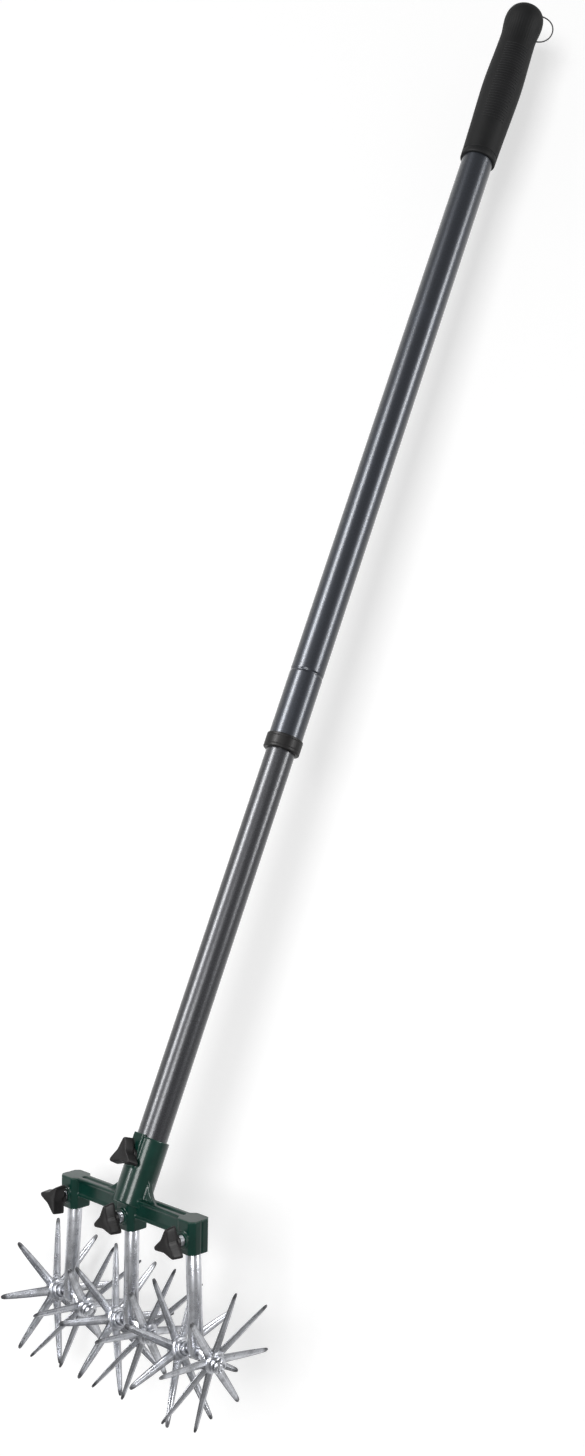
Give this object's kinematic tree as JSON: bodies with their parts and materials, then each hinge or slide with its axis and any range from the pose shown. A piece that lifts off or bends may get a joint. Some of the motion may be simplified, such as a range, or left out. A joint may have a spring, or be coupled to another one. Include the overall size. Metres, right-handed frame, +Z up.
{
  "type": "rotary hand cultivator",
  "caption": "Soil cultivator with pairs of freely turning star wheels under a cast head on a telescopic handle with a grip and hanging cord.",
  "frame": {"origin": "on the ground below the middle tine shaft, level with the lowest point its spike tips reach", "axes": "+X along the head's beam, -Y the front where the clamping knobs stand, +Z up along the middle shaft; the handle leans back towards +Y"},
  "size_m": [0.2191, 0.5509, 1.2161],
  "materials": {
    "rubber_black": "fine matte rubber",
    "cord": "braided, matte",
    "grey_coat": "smooth metallic coat, glossy",
    "grey_coat_fine": "speckled metallic coat",
    "black_plastic": "satin moulded",
    "white_plastic": "plain moulded",
    "green_enamel": "gloss enamel on a casting",
    "zinc": "bright zinc plate",
    "zinc_cast": "zinc plate on a rough casting"
  },
  "bodies": {
    "upper_handle": {"hand_grip": "rubber_black", "hanging_cord": "cord", "upper_tube": "grey_coat", "guide_collar": "black_plastic"},
    "lower_handle": {"lower_tube": "grey_coat_fine", "lock_plug": "white_plastic", "lock_cap": "white_plastic"},
    "lock_cam": {"lock_cam": "white_plastic"},
    "head": {"cast_head": "green_enamel"},
    "knob_left": {"knob_left": "black_plastic", "knob_stud_left": "zinc"},
    "knob_middle": {"knob_middle": "black_plastic", "knob_stud_middle": "zinc"},
    "knob_right": {"knob_right": "black_plastic", "knob_stud_right": "zinc"},
    "knob_handle": {"knob_handle": "black_plastic", "knob_stud_handle": "zinc"},
    "tine_unit_1": {"tine_shaft_1": "zinc", "axle_1": "zinc", "axle_caps_1": "zinc"},
    "tine_unit_2": {"tine_shaft_2": "zinc", "axle_2": "zinc", "axle_caps_2": "zinc"},
    "tine_unit_3": {"tine_shaft_3": "zinc", "axle_3": "zinc", "axle_caps_3": "zinc"},
    "wheel_1": {"star_wheel_1": "zinc_cast"},
    "wheel_2": {"star_wheel_2": "zinc_cast"},
    "wheel_3": {"star_wheel_3": "zinc_cast"},
    "wheel_4": {"star_wheel_4": "zinc_cast"},
    "wheel_5": {"star_wheel_5": "zinc_cast"},
    "wheel_6": {"star_wheel_6": "zinc_cast"}
  },
  "joints": [
    {"name": "handle_telescope", "type": "slide", "parent": "upper_handle", "child": "lower_handle", "axis": [0, -0.4147, -0.91], "range_m": [-0.3, 0.19]},
    {"name": "lock_cam_turn", "type": "hinge", "parent": "lower_handle", "child": "lock_cam", "pos_m": [0.0012, 0.28668, 0.78754], "axis": [0, 0.4147, 0.91], "range_deg": [-14, 14]},
    {"name": "head_release", "type": "slide", "parent": "lower_handle", "child": "head", "axis": [0, -0.4147, -0.91], "range_m": [0, 0.045]},
    {"name": "knob_left_turn", "type": "hinge", "parent": "head", "child": "knob_left", "pos_m": [-0.071, -0.012, 0.14569], "axis": [0, -1, 0], "range_deg": [0, 720]},
    {"name": "knob_middle_turn", "type": "hinge", "parent": "head", "child": "knob_middle", "pos_m": [0, -0.012, 0.14569], "axis": [0, -1, 0], "range_deg": [0, 720]},
    {"name": "knob_right_turn", "type": "hinge", "parent": "head", "child": "knob_right", "pos_m": [0.071, -0.012, 0.14569], "axis": [0, -1, 0], "range_deg": [0, 720]},
    {"name": "knob_handle_turn", "type": "hinge", "parent": "head", "child": "knob_handle", "pos_m": [0, -0.00192, 0.19178], "axis": [0, -0.91, 0.4147], "range_deg": [0, 720]},
    {"name": "tine_unit_1_release", "type": "slide", "parent": "head", "child": "tine_unit_1", "axis": [-0.061, 0, -0.9981], "range_m": [0, 0.045]},
    {"name": "tine_unit_2_release", "type": "slide", "parent": "head", "child": "tine_unit_2", "axis": [0, 0, -1], "range_m": [0, 0.045]},
    {"name": "tine_unit_3_release", "type": "slide", "parent": "head", "child": "tine_unit_3", "axis": [0.061, 0, -0.9981], "range_m": [0, 0.045]},
    {"name": "wheel_1_spin", "type": "hinge", "parent": "tine_unit_1", "child": "wheel_1", "pos_m": [-0.09485, 0, 0.05707], "axis": [0.9703, 0, 0.2419], "continuous": true},
    {"name": "wheel_2_spin", "type": "hinge", "parent": "tine_unit_1", "child": "wheel_2", "pos_m": [-0.05813, 0, 0.05482], "axis": [0.9336, 0, -0.3584], "continuous": true},
    {"name": "wheel_3_spin", "type": "hinge", "parent": "tine_unit_2", "child": "wheel_3", "pos_m": [-0.0184, 0, 0.05578], "axis": [0.9537, 0, 0.3007], "continuous": true},
    {"name": "wheel_4_spin", "type": "hinge", "parent": "tine_unit_2", "child": "wheel_4", "pos_m": [0.0184, 0, 0.05578], "axis": [0.9537, 0, -0.3007], "continuous": true},
    {"name": "wheel_5_spin", "type": "hinge", "parent": "tine_unit_3", "child": "wheel_5", "pos_m": [0.05813, 0, 0.05482], "axis": [0.9336, 0, 0.3584], "continuous": true},
    {"name": "wheel_6_spin", "type": "hinge", "parent": "tine_unit_3", "child": "wheel_6", "pos_m": [0.09485, 0, 0.05707], "axis": [0.9703, 0, -0.2419], "continuous": true}
  ]
}
